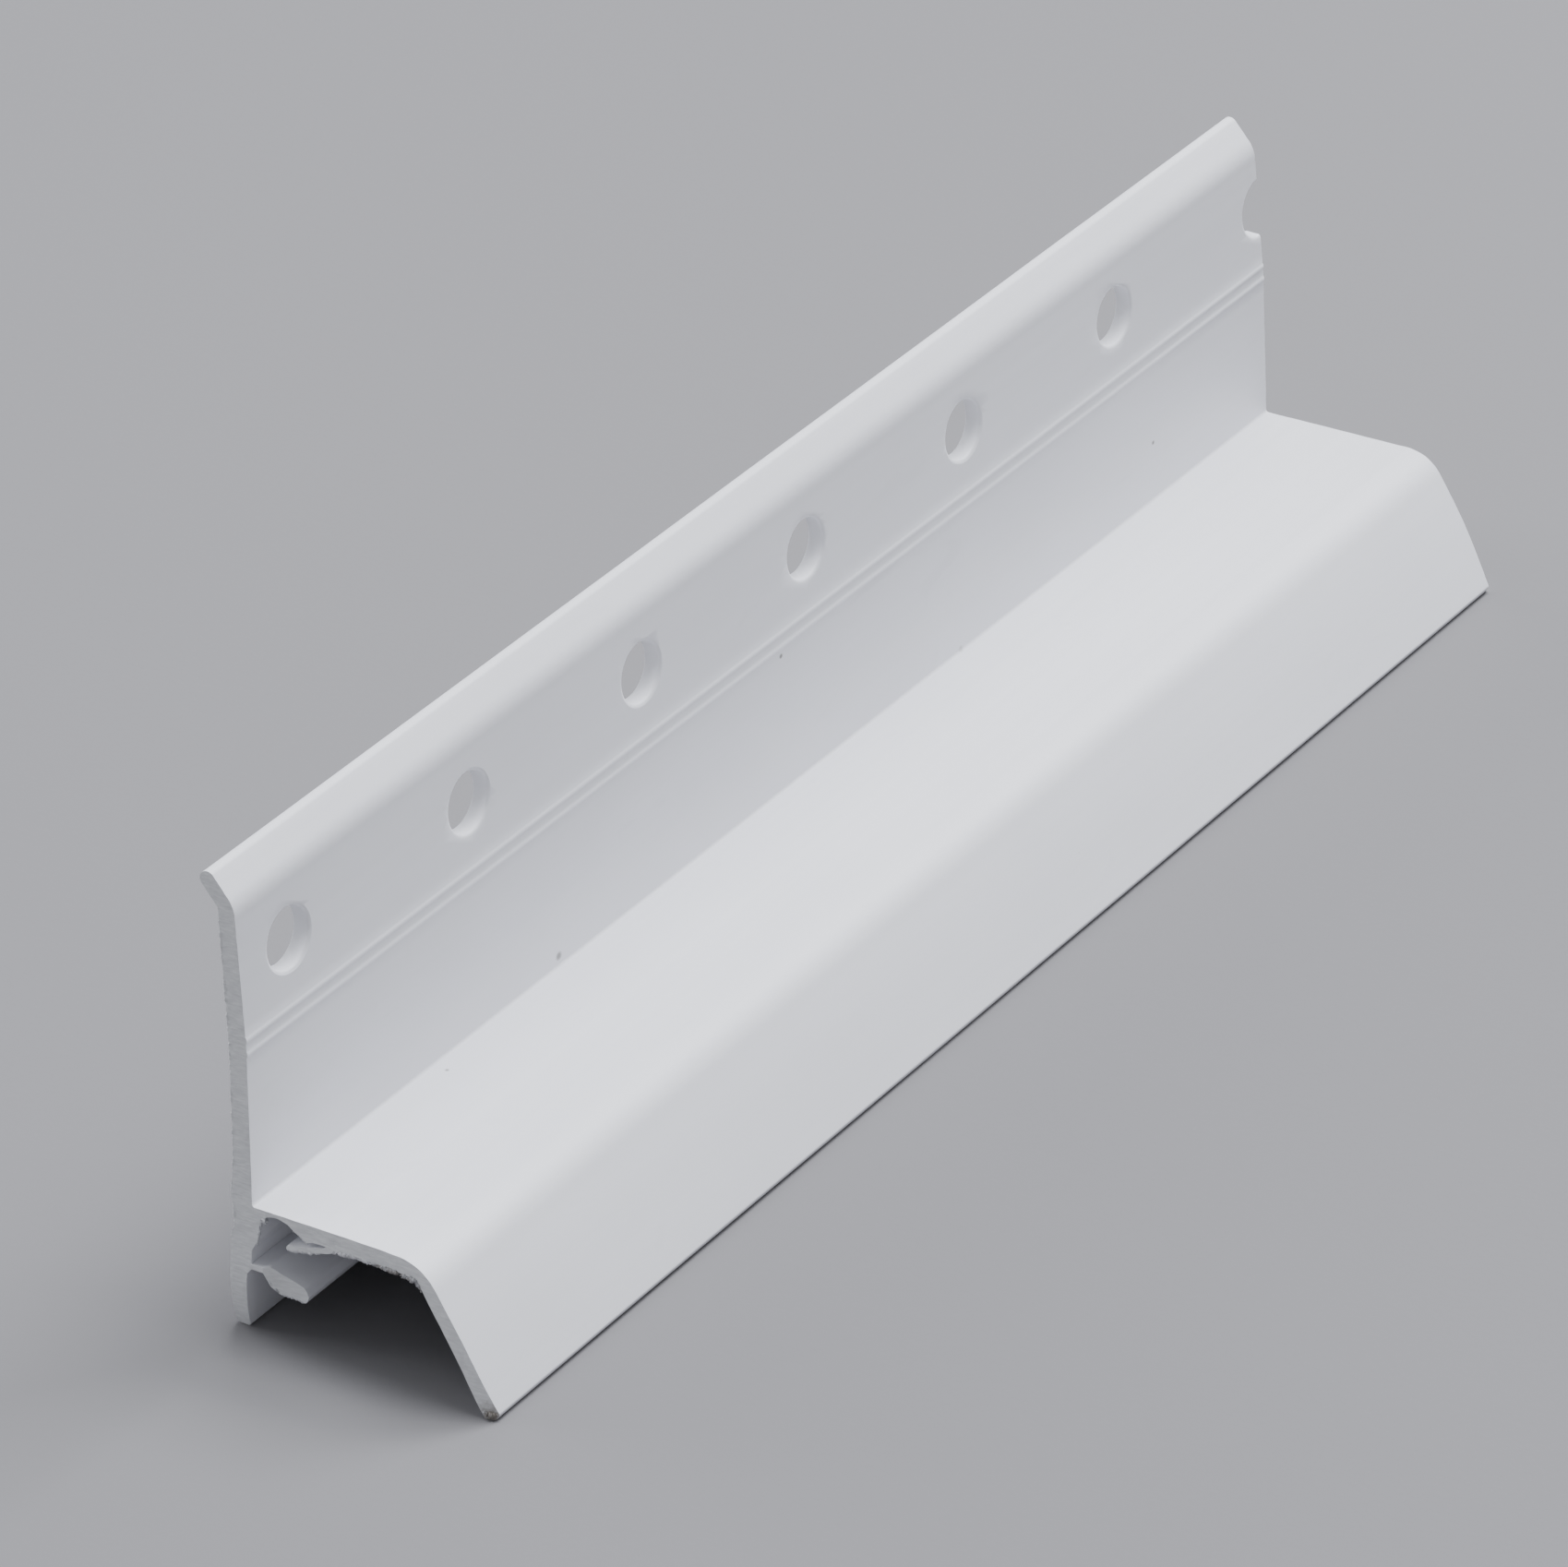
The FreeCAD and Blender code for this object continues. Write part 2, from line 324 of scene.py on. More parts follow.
def drawn_profile_tree():
    """Draws a closed section along X between the two oblique saw cuts."""
    cuts = []
    for side, (end, lean, skew, _) in SAW.items():
        name = side.title()
        cuts += [
            (name + " End", "Float", end, f"X of the {side} cut, at the face and the hood's top"),
            (name + " Lean", "Float", lean, f"How far the {side} cut leans in with height"),
            (name + " Skew", "Float", skew, f"How far the {side} cut leans in toward the door"),
        ]
    tree = Tree("Drawn Profile", cuts + [
        ("Stations", "Int", STATIONS, "Rings along the profile"),
        ("Waviness", "Float", WAVINESS, "How much the drawn faces wander"),
        ("Material", "Material", None, "Plastic of the drawn faces"),
    ])
    path = tree.node("GeometryNodeCurvePrimitiveLine",
                     inputs={"Start": (0, 0, 0), "End": (1, 0, 0)})
    path = tree.node("GeometryNodeResampleCurve", path.outputs[0],
                     inputs={"Count": tree.given("Stations")})
    path = tree.node("GeometryNodeSetCurveNormal", path.outputs[0], mode="Z_UP")
    section = tree.node("GeometryNodeMeshToCurve", tree.given("Geometry"))
    drawn = tree.node("GeometryNodeCurveToMesh", path.outputs[0], section.outputs[0],
                      inputs={"Fill Caps": True})
    along, y, z = tree.node("ShaderNodeSeparateXYZ", tree.position()).outputs
    out = tree.math("SUBTRACT", y, FACE_Y)
    up = tree.math("SUBTRACT", z, TOP_Z)
    left = saw_line(tree, "Left", out, up)
    right = saw_line(tree, "Right", out, up)
    span = tree.math("SUBTRACT", right, left)
    x = tree.math("MULTIPLY_ADD", span, along, left)
    spot = tree.node("ShaderNodeCombineXYZ", x, y, z).outputs[0]
    drawn = tree.node("GeometryNodeSetPosition", drawn.outputs[0], inputs={"Position": spot})
    stretched = tree.vector("MULTIPLY", tree.position(), WAVE_GRAIN)
    wander = tree.vector("SUBTRACT", tree.noise(stretched, 1.0, 1.0).outputs["Color"], NOISE_MEAN)
    wander = tree.vector("MULTIPLY", wander, (0.0, 1.0, 1.0))
    return tree.finish(tree.moved(drawn.outputs[0], tree.scaled(wander, tree.given("Waviness"))))


def punched_holes_tree():
    """Punches a row of round holes in a leaning strip: softly rolled in front, crisp behind."""
    tree = Tree("Punched Holes", [
        ("First", "Vector", None, "Middle of the first hole, half way through the strip"),
        ("Pitch", "Float", HOLE_PITCH, "From hole to hole"),
        ("Count", "Int", 7, "Holes, with the one that the saw has cut through"),
        ("Radius", "Float", HOLE_RADIUS, "Hole's radius"),
        ("Rim", "Float", FRONT_RIM, "Radius of the rolled rim in front"),
        ("Back Rim", "Float", BACK_RIM, "Radius of the rim at the back"),
        ("Half Wall", "Float", FLANGE_WALL * MM / 2, "Half of the strip's thickness at a hole"),
        ("Lean", "Float", FLANGE_SLOPE, "How far the strip leans back per metre of height"),
        ("Material", "Material", None, "Plastic of the strip"),
    ])
    punch = tree.node("GeometryNodeMeshCylinder", inputs={
        "Vertices": PUNCH_SIDES, "Side Segments": PUNCH_RINGS, "Fill Segments": 1,
        "Radius": tree.given("Radius"), "Depth": PUNCH_LENGTH}).outputs["Mesh"]
    x, y, z = tree.node("ShaderNodeSeparateXYZ", tree.position()).outputs
    inside = tree.math("SUBTRACT", tree.given("Half Wall"), tree.math("ABSOLUTE", z))
    in_front = tree.math("LESS_THAN", z, 0.0)
    more = tree.math("SUBTRACT", tree.given("Rim"), tree.given("Back Rim"))
    rim = tree.math("MULTIPLY_ADD", in_front, more, tree.given("Back Rim"))
    depth = tree.math("DIVIDE", inside, rim)
    q = tree.node("ShaderNodeClamp", tree.math("SUBTRACT", 1.0, depth)).outputs[0]
    root = tree.math("SQRT", tree.math("SUBTRACT", 1.0, tree.math("MULTIPLY", q, q)))
    flare = tree.math("MULTIPLY", rim, tree.math("SUBTRACT", 1.0, root))
    grown = tree.math("ADD", 1.0, tree.math("DIVIDE", flare, tree.given("Radius")))
    height = tree.math("MULTIPLY", y, grown)
    sheared = tree.math("MULTIPLY_ADD", height, tree.given("Lean"), z)
    x = tree.math("MULTIPLY", x, grown)
    spot = tree.node("ShaderNodeCombineXYZ", x, sheared, height).outputs[0]
    punch = tree.node("GeometryNodeSetPosition", punch, inputs={"Position": spot}).outputs[0]
    punch = tree.node("GeometryNodeFlipFaces", punch).outputs[0]
    step = tree.node("ShaderNodeCombineXYZ", tree.given("Pitch")).outputs[0]
    row = tree.node("GeometryNodeMeshLine", inputs={
        "Count": tree.given("Count"), "Start Location": tree.given("First"), "Offset": step})
    punches = tree.node("GeometryNodeInstanceOnPoints", row.outputs[0],
                        inputs={"Instance": punch})
    punches = tree.node("GeometryNodeRealizeInstances", punches.outputs[0])
    cut = tree.node("GeometryNodeMeshBoolean", tree.given("Geometry"), punches.outputs[0],
                    operation="DIFFERENCE", solver="EXACT")
    return tree.finish(cut.outputs[0])


def saw_burr_tree():
    """Runs a ragged torn ridge along an edge, and scatters small flakes of plastic on it."""
    tree = Tree("Saw Burr", [
        ("Ridge Points", "Int", 200, "Points along the ridge"),
        ("Ridge", "Float", 0.00012, "Usual radius of the ridge"),
        ("Count", "Int", 60, "Flakes along the edge"),
        ("Flake", "Float", 0.00012, "Radius of a flake"),
        ("Scatter", "Float", 0.00012, "How far the ridge and its flakes stray from the edge"),
        ("Seed", "Int", 3, "Random seed"),
        ("Material", "Material", None, "Torn plastic"),
    ])
    seed = tree.given("Seed")
    edge = tree.node("GeometryNodeMeshToCurve", tree.given("Geometry")).outputs[0]
    path = tree.node("GeometryNodeResampleCurve", edge,
                     inputs={"Count": tree.given("Ridge Points")})
    apart = tree.node("ShaderNodeCombineXYZ", seed, seed, seed).outputs[0]
    shifted = tree.vector("ADD", tree.position(), apart)
    thick = tree.noise(shifted, RIDGE_GRAIN, 3.0).outputs["Fac"]
    thick = tree.node("ShaderNodeMapRange", inputs={
        "Value": thick, "From Min": 0.32, "From Max": 0.68, "To Min": 0.12, "To Max": 1.8})
    ring = tree.node("GeometryNodeCurvePrimitiveCircle",
                     inputs={"Resolution": RIDGE_SIDES, "Radius": tree.given("Ridge")})
    ridge = tree.node("GeometryNodeCurveToMesh", path.outputs[0], ring.outputs[0],
                      inputs={"Scale": thick.outputs[0], "Fill Caps": True})
    tear = tree.noise(shifted, TEAR_GRAIN, 2.0).outputs["Color"]
    tear = tree.vector("SUBTRACT", tear, NOISE_MEAN)
    strength = tree.math("MULTIPLY", tree.given("Scatter"), TEAR_STRENGTH)
    ridge = tree.moved(ridge.outputs[0], tree.scaled(tear, strength))
    spots = tree.node("GeometryNodeCurveToPoints", edge, inputs={"Count": tree.given("Count")})
    stray = tree.random((-1, -1, -1), (1, 1, 1), seed)
    spots = tree.moved(spots.outputs[0], tree.scaled(stray, tree.given("Scatter")))
    turn = tree.random((0, 0, 0), (6.28, 6.28, 6.28), tree.math("ADD", seed, 1.0))
    size = tree.random(FLAKE_LEAST, FLAKE_MOST, tree.math("ADD", seed, 2.0))
    flake = tree.node("GeometryNodeMeshIcoSphere", tree.given("Flake"), 1)
    flakes = tree.node("GeometryNodeInstanceOnPoints", spots, inputs={
        "Instance": flake.outputs[0], "Rotation": turn, "Scale": size}).outputs[0]
    both = tree.node("GeometryNodeJoinGeometry")
    for part in (ridge, flakes):
        tree.tree.links.new(part, both.inputs[0])
    return tree.finish(both.outputs[0])


def set_input(modifier, name, value):
    """Sets a modifier's input by its socket's identifier."""
    for item in modifier.node_group.interface.items_tree:
        if item.item_type == "SOCKET" and item.in_out == "INPUT" and item.name == name:
            modifier[item.identifier] = value
            return
    raise RuntimeError("the tree has no input named " + name)


def tree_named(name, build):
    return bpy.data.node_groups.get(name) or build()


def baked(obj, tree, **values):
    """Runs a tree on an object and keeps the result as its plain mesh."""
    modifier = obj.modifiers.new(tree.name, "NODES")
    modifier.node_group = tree
    for name, value in values.items():
        set_input(modifier, name.replace("_", " ").title(), value)
    ready = obj.evaluated_get(bpy.context.evaluated_depsgraph_get())
    mesh = bpy.data.meshes.new_from_object(ready)
    obj.modifiers.remove(modifier)
    old = obj.data
    obj.data = mesh
    mesh.name = obj.name
    bpy.data.meshes.remove(old)
    return obj


# --- pieces ---
def section_object(name, corners, longest):
    """The closed section as a loop of edges, ready to be drawn along X."""
    ring = [place(p.x, p.y) for p in outline(corners, longest)]
    mesh = bpy.data.meshes.new(name)
    count = len(ring)
    edges = [(i, (i + 1) % count) for i in range(count)]
    mesh.from_pydata([(-y, -z, 0) for y, z in ring], edges, [])
    obj = bpy.data.objects.new(name, mesh)
    bpy.context.scene.collection.objects.link(obj)
    return obj


def saw_x(side, y, z):
    """Where a saw cut crosses a section point."""
    end, lean, skew, way = SAW[side]
    return end - way * (lean * (z - TOP_Z) + skew * (y - FACE_Y))


def saw_wander(side, body, y, z):
    """How far along X the saw strayed from its straight cut, or tore a left-hand end back."""
    out, up = (y - FACE_Y) / MM, (z - TOP_Z) / MM
    if side == "left" and body == "shelf":
        return SHELF_TORN * MM * (1 - math.exp((out - NECK_OUTER) / SHELF_TEAR_LENGTH))
    if side == "left" and body == "plate" and up < FOOT_TORN_FROM:
        return FOOT_TORN * MM * ((FOOT_TORN_FROM - up) / (FOOT_TORN_FROM + TOP_Z / MM)) ** 2
    start, slope, most, turn = HOOD_PROUD[side]
    past = max(0.0, (-out - turn) / (SKIRT_REACH - turn))
    proud = max(0.0, min(slope * (-out - start), most * (1 - past ** HOOD_FADE)))
    return SAW[side][3] * proud * MM


def cut_x(side, body, y, z):
    """Where a limb really ends at a section point, but for the tooth marks."""
    return saw_x(side, y, z) + saw_wander(side, body, y, z)


def saw_marks(y, z, rough):
    """Height of the sawn face at a point: slanted tooth lines and a torn grain."""
    across = (TOOTH_COS * y + TOOTH_SIN * z) / MM
    along = (TOOTH_COS * z - TOOTH_SIN * y) / MM
    lines = noise.noise(Vector((across * 0.7, along * 3.1, 4.0)))
    grain = noise.noise(Vector((across * 5.3, along * 6.1, 9.0)))
    return rough * (LINE_SHARE * lines + GRAIN_SHARE * grain)


def ordered_loops(edges):
    """Vertices of each closed loop of boundary edges, in order."""
    links = {}
    for edge in edges:
        for a, b in (edge.verts, reversed(edge.verts)):
            links.setdefault(a, []).append(b)
    loops, seen = [], set()
    for start in links:
        if start in seen:
            continue
        loop, here = [], start
        while here is not None and here not in seen:
            seen.add(here)
            loop.append(here)
            here = next((v for v in links[here] if v not in seen), None)
        loops.append(loop)
    return loops


def inner_points(ring, spacing):
    """A jittered grid of points over the ring's box, the same on every run."""
    noise.seed_set(JITTER_SEED)
    low_y, high_y = min(p[0] for p in ring), max(p[0] for p in ring)
    low_z, high_z = min(p[1] for p in ring), max(p[1] for p in ring)
    spots = []
    for i in range(int((high_y - low_y) / spacing) + 1):
        for j in range(int((high_z - low_z) / spacing) + 1):
            y, z = low_y + (i + 0.5) * spacing, low_z + (j + 0.5) * spacing
            shift = noise.noise_vector(Vector((y, z, 0.0)) * JITTER_GRAIN) * (GRID_JITTER * spacing)
            spots.append((y + shift.x, z + shift.y))
    return spots


def far_from_ring(spot, ring, gap):
    return all((spot[0] - y) ** 2 + (spot[1] - z) ** 2 > gap * gap for y, z in ring)


def saw_end(bm, side, body, rough, spacing):
    """Swaps the flat cap at one end for a rough sawn face of small triangles."""
    way = SAW[side][3]
    flush = {v for v in bm.verts if abs(v.co.x - saw_x(side, v.co.y, v.co.z)) < FLUSH_GAP}
    caps = [f for f in bm.faces if all(v in flush for v in f.verts)]
    bmesh.ops.delete(bm, geom=caps, context="FACES")
    edges = [e for e in bm.edges if e.is_boundary and all(v in flush for v in e.verts)]
    for loop in ordered_loops(edges):
        if len(loop) < 3:
            continue
        ring = [(v.co.y, v.co.z) for v in loop]
        gap = spacing * GRID_CLEARANCE
        grid = [s for s in inner_points(ring, spacing) if far_from_ring(s, ring, gap)]
        flat = [Vector(p) / MM for p in ring + grid]
        sides = [(i, (i + 1) % len(ring)) for i in range(len(ring))]
        found = delaunay_2d_cdt(flat, sides, [list(range(len(ring)))], 1, 1e-6)
        spots, _, triangles, origins = found[:4]
        corners = []
        for where, sources in zip(spots, origins):
            edge = next((i for i in sources if i < len(ring)), None)
            if edge is not None:
                corners.append(loop[edge])
                continue
            y, z = where.x * MM, where.y * MM
            x = cut_x(side, body, y, z) + saw_marks(y, z, rough)
            corners.append(bm.verts.new((x, y, z)))
        for vert in loop:
            _, y, z = vert.co
            vert.co.x += saw_wander(side, body, y, z) + RIM_SHARE * saw_marks(y, z, rough)
        for triangle in triangles:
            verts = [corners[i] for i in triangle]
            if len(set(verts)) < 3:
                continue
            face = bm.faces.new(verts)
            face.normal_update()
            if face.normal.x * way < 0:
                face.normal_flip()
            face.material_index = SAWN_SLOT
            face.smooth = False


def finish_piece(obj, body, node, plastic=True):
    """Saws both ends of a plastic piece and sets its shading, hides the CAD part it stands for, and
    hangs it on its body.
    """
    sizes = bpy.context.scene.sweep_sizes
    mesh = obj.data
    if plastic:
        mesh.materials.append(bpy.data.materials["sawn_white_pvc"])
        bm = bmesh.new()
        bm.from_mesh(mesh)
        bmesh.ops.remove_doubles(bm, verts=bm.verts, dist=MERGE_GAP)
        for face in bm.faces:
            face.smooth = True
        for side in SAW:
            saw_end(bm, side, body, sizes.saw_roughness, sizes.saw_grain)
        loose = [v for v in bm.verts if not v.link_faces]
        bmesh.ops.delete(bm, geom=loose, context="VERTS")
        bm.to_mesh(mesh)
        bm.free()
        mesh.set_sharp_from_angle(angle=SHARP_ANGLE)
    if node:
        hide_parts(node)
    if body:
        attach(obj, body)
    return obj


def drawn_piece(name, corners, longest):
    """One section drawn along the whole length, its outline in steps of a longest."""
    sizes = bpy.context.scene.sweep_sizes
    obj = section_object(name, corners, longest)
    tree = tree_named("Drawn Profile", drawn_profile_tree)
    return baked(obj, tree, stations=sizes.stations, waviness=sizes.waviness,
                 material=bpy.data.materials["satin_white_pvc"])


def limb(name, corners, longest, body, node):
    """One limb of the section, drawn and sawn, standing in for its CAD part and hung on its body if
    it has one.
    """
    return finish_piece(drawn_piece(name, corners, longest), body, node)


# --- finishes: waves per metre of each grain along X, Y and Z, and depths of relief in metres ---
DIE_STREAKS, STREAK_DEPTH = (9.0, 950.0, 950.0), 0.000012
CLOUDS = (55.0, 120.0, 120.0)
RUBS = (90.0, 260.0, 260.0)
SPECK_CELLS = (150.0,) * 3
PEEL, PEEL_DEPTH = (420.0, 1500.0, 1500.0), 0.000006
TOOTH_LINES, TOOTH_DEPTH = (300.0, 900.0, 5200.0), 0.00005
SAWN_GRAIN, SAWN_DEPTH = (2600.0,) * 3, 0.00003
SAW_DIRT = (700.0, 500.0, 500.0)
TORN_GRAIN, TORN_DEPTH = (1900.0,) * 3, 0.00004
GRIME = (1300.0,) * 3
PAPER_TOOTH, PAPER_DEPTH = (1400.0,) * 3, 0.00002
PVC_IOR = 1.53


class Finish:
    """A short way to write a material."""

    def __init__(self, name):
        self.material = bpy.data.materials.new(name)
        self.material.use_nodes = True
        self.nodes = self.material.node_tree.nodes
        self.links = self.material.node_tree.links
        self.shader = next(n for n in self.nodes if n.type == "BSDF_PRINCIPLED")
        self.space = self.nodes.new("ShaderNodeTexCoord").outputs["Object"]

    def node(self, kind, inputs, **settings):
        made = self.nodes.new(kind)
        for key, value in settings.items():
            setattr(made, key, value)
        for key, value in inputs.items():
            if isinstance(value, bpy.types.NodeSocket):
                self.links.new(value, made.inputs[key])
            else:
                made.inputs[key].default_value = value
        return made

    def stretched(self, scale, turn=(0, 0, 0)):
        values = {"Vector": self.space, "Scale": scale, "Rotation": turn}
        return self.node("ShaderNodeMapping", values).outputs[0]

    def noise(self, scale, detail=2.0, turn=(0, 0, 0), distortion=0.0):
        spot = self.stretched(scale, turn)
        values = {"Vector": spot, "Scale": 1.0, "Detail": detail, "Distortion": distortion}
        return self.node("ShaderNodeTexNoise", values).outputs["Fac"]

    def span(self, value, low, high, out_low, out_high):
        """Spreads the part of a value from low to high over out_low to out_high."""
        ends = {"Value": value, "From Min": low, "From Max": high,
                "To Min": out_low, "To Max": out_high}
        return self.node("ShaderNodeMapRange", ends).outputs[0]

    def math(self, operation, a, b=0.0):
        return self.node("ShaderNodeMath", {0: a, 1: b}, operation=operation).outputs[0]

    def distance(self, spot):
        """How far the shaded point is from a spot."""
        values = {0: self.space, 1: tuple(spot)}
        return self.node("ShaderNodeVectorMath", values, operation="DISTANCE").outputs["Value"]

    def tint(self, factor, colour, other):
        """One colour turning into another."""
        made = self.node("ShaderNodeMix", {"Factor": factor}, data_type="RGBA")
        for socket, value in ((made.inputs[6], colour), (made.inputs[7], other)):
            if isinstance(value, bpy.types.NodeSocket):
                self.links.new(value, socket)
            else:
                socket.default_value = (*value, 1.0)
        return made.outputs[2]

    def blend(self, value, low, high, most, colour, other):
        """One colour turning into another by a most, as a value goes from low to high."""
        return self.tint(self.span(value, low, high, 0.0, most), colour, other)

    def relief(self, height, distance, under=None):
        values = {"Height": height, "Distance": distance, "Strength": 1.0}
        if under is not None:
            values["Normal"] = under
        return self.node("ShaderNodeBump", values).outputs[0]

    def connect(self, **sockets):
        for name, value in sockets.items():
            socket = self.shader.inputs[name.replace("_", " ")]
            if isinstance(value, bpy.types.NodeSocket):
                self.links.new(value, socket)
            else:
                socket.default_value = value


def shade(colour, factor):
    return tuple(min(1.0, c * factor) for c in colour)


def satin_white_pvc(look):
    """Drawn faces: die streaks along the length, a faint mottle, a few specks, rubbed places, and a
    painted highlight along the rib crests.
    """
    made = Finish("satin_white_pvc")
    white = look.plastic_colour
    streaks = made.noise(DIE_STREAKS, 3.0)
    mottle = made.noise(CLOUDS, 2.0)
    colour = made.blend(streaks, 0.3, 0.7, 1.0, shade(white, 0.985), shade(white, 1.01))
    colour = made.blend(mottle, 0.35, 0.7, look.mottle, colour, shade(white, 0.955))
    rub = made.noise(RUBS, 4.0, (0.3, 0.1, 0.5), 1.2)
    rubbed = made.span(rub, 0.64, 0.72, 0.0, 1.0)
    colour = made.tint(made.math("MULTIPLY", rubbed, 0.35), colour, shade(white, 0.93))
    cells = {"Vector": made.stretched(SPECK_CELLS), "Scale": 1.0}
    cells = made.node("ShaderNodeTexVoronoi", cells)
    pick = made.node("ShaderNodeSeparateColor", {0: cells.outputs["Color"]}).outputs[0]
    speck = made.span(cells.outputs["Distance"], 0.022, 0.042, 1.0, 0.0)
    chosen = made.math("GREATER_THAN", pick, 0.80)
    colour = made.tint(made.math("MULTIPLY", speck, chosen), colour, look.speck_colour)
    for spot, strength, edge in BLEMISHES:
        core = BLEMISH_CORE * edge * MM
        blemish = made.span(made.distance(spot), core, edge * MM, strength, 0.0)
        colour = made.tint(blemish, colour, look.speck_colour)
    # Painted highlight: a thin band along each of the two rib crests is made paler, standing in for
    # the light the crests catch from above
    height = made.node("ShaderNodeSeparateXYZ", {0: made.space}).outputs["Z"]
    from_middle = made.math("ABSOLUTE", made.math("SUBTRACT", height, TOP_Z + SCORE_UP * MM))
    from_crest = made.math("SUBTRACT", from_middle, SCORE_SPACING * MM / 2)
    crest = made.span(made.math("ABSOLUTE", from_crest), 0.0001, 0.00034, 1.0, 0.0)
    colour = made.tint(crest, colour, shade(white, look.rubbed_crest))
    rough = made.span(streaks, 0.25, 0.75, look.gloss - 0.035, look.gloss + 0.035)
    rough = made.math("ADD", rough, made.math("MULTIPLY", rubbed, 0.12))
    lines = made.relief(streaks, STREAK_DEPTH)
    peel = made.relief(made.noise(PEEL, 2.0), PEEL_DEPTH, lines)
    made.connect(Base_Color=colour, Roughness=rough, Normal=peel, IOR=PVC_IOR,
                 Subsurface_Weight=0.08, Subsurface_Radius=(1.0, 0.95, 0.9),
                 Subsurface_Scale=0.0012)
    return made.material


def sawn_white_pvc(look):
    """Sawn ends: matt, a little greyer, with slanted tooth lines and torn grain."""
    made = Finish("sawn_white_pvc")
    grey = look.sawn_colour
    teeth = made.noise(TOOTH_LINES, 2.0, (0.35, 0.0, 0.0), 0.4)
    torn = made.noise(SAWN_GRAIN, 3.0)
    colour = made.blend(teeth, 0.35, 0.7, 1.0, shade(grey, 0.93), shade(grey, 1.06))
    dirt = made.noise(SAW_DIRT, 3.0)
    colour = made.blend(dirt, 0.58, 0.74, 0.45, colour, shade(grey, 0.72))
    y, z = place(*SKIRT_TIP)
    gap = made.distance((saw_x("left", y, z), y, z))
    ragged = made.math("ADD", gap, made.math("MULTIPLY", torn, 0.0012))
    near_tip = made.span(ragged, 0.0010, 0.0022, 0.8, 0.0)
    colour = made.tint(near_tip, colour, look.soil_colour)
    rough = made.span(torn, 0.3, 0.7, 0.58, 0.78)
    grain = made.relief(torn, SAWN_DEPTH, made.relief(teeth, TOOTH_DEPTH))
    made.connect(Base_Color=colour, Roughness=rough, Normal=grain, IOR=PVC_IOR)
    return made.material


def torn_pvc(look, name="torn_white_pvc", low=0.5, high=0.85, dirt_and_shade=0.0):
    """Torn edges: the plastic, matt and greyer than the sawn face, with or without dirt in it. In
    the bend's finish the dark mix is also painted shade.
    """
    made = Finish(name)
    pale = look.plastic_colour
    torn = made.noise(TORN_GRAIN, 3.0)
    colour = made.blend(torn, 0.35, 0.7, 1.0, shade(pale, low), shade(pale, high))
    if dirt_and_shade:
        # Mixes in the dirt colour; for the edge in the bend this darkening is partly painted shade
        # from the hood above
        dirt_and_shade_noise = made.noise(GRIME, 2.0)
        colour = made.blend(dirt_and_shade_noise, 0.40, 0.55, dirt_and_shade, colour, look.soil_colour)
    rough = made.span(torn, 0.3, 0.7, 0.5, 0.75)
    grain = made.relief(torn, TORN_DEPTH)
    made.connect(Base_Color=colour, Roughness=rough, Normal=grain, IOR=PVC_IOR)
    return made.material


def grimy_pvc(look):
    """The torn edge in the bend, under the hood: greyed by dirt and darkened with painted shade."""
    return torn_pvc(look, "grimy_pvc", 0.32, 0.7, 0.5)


def soiled_pvc(look):
    """The torn tip that has picked up dirt."""
    return torn_pvc(look, "soiled_pvc", 0.6, 0.95, 0.85)


def studio_paper(look):
    """Floor: plain pale paper with a very faint tooth."""
    made = Finish("studio_paper")
    pale = look.floor_colour
    tooth = made.noise(PAPER_TOOTH, 3.0)
    colour = made.blend(tooth, 0.3, 0.7, 1.0, shade(pale, 0.985), shade(pale, 1.015))
    rough = made.span(tooth, 0.3, 0.7, 0.82, 0.92)
    made.connect(Base_Color=colour, Roughness=rough, Normal=made.relief(tooth, PAPER_DEPTH))
    return made.material


# --- sizes and colours a user would change ---
class SweepSizes(bpy.types.PropertyGroup):
    """Sizes of the visible detail."""

    stations: IntProperty(
        name="Stations", description="Rings along the profile",
        default=STATIONS, min=8, max=400)
    waviness: FloatProperty(
        name="Waviness", description="How much the drawn faces wander",
        default=WAVINESS, min=0.0, max=0.001, precision=5, unit="LENGTH")
    hole_radius: FloatProperty(
        name="Hole radius", description="Radius of the screw holes",
        default=HOLE_RADIUS, min=0.001, max=0.004, precision=5, unit="LENGTH")
    hole_count: IntProperty(
        name="Holes", description="Screw holes, with the one that the saw cuts through",
        default=7, min=1, max=7)
    rim: FloatProperty(
        name="Rim", description="Radius of the rolled rim in front of a hole",
        default=FRONT_RIM, min=0.00005, max=0.0006, precision=5, unit="LENGTH")
    saw_roughness: FloatProperty(
        name="Saw roughness", description="Depth of the tooth marks on the ends",
        default=0.00007, min=0.0, max=0.0003, precision=5, unit="LENGTH")
    saw_grain: FloatProperty(
        name="Saw grain", description="Spacing of the mesh on the sawn ends",
        default=0.00026, min=0.0001, max=0.001, precision=5, unit="LENGTH")
    burr_size: FloatProperty(
        name="Burr size", description="Size of the torn edges beside their usual size",
        default=1.0, min=0.1, max=2.0, subtype="FACTOR")


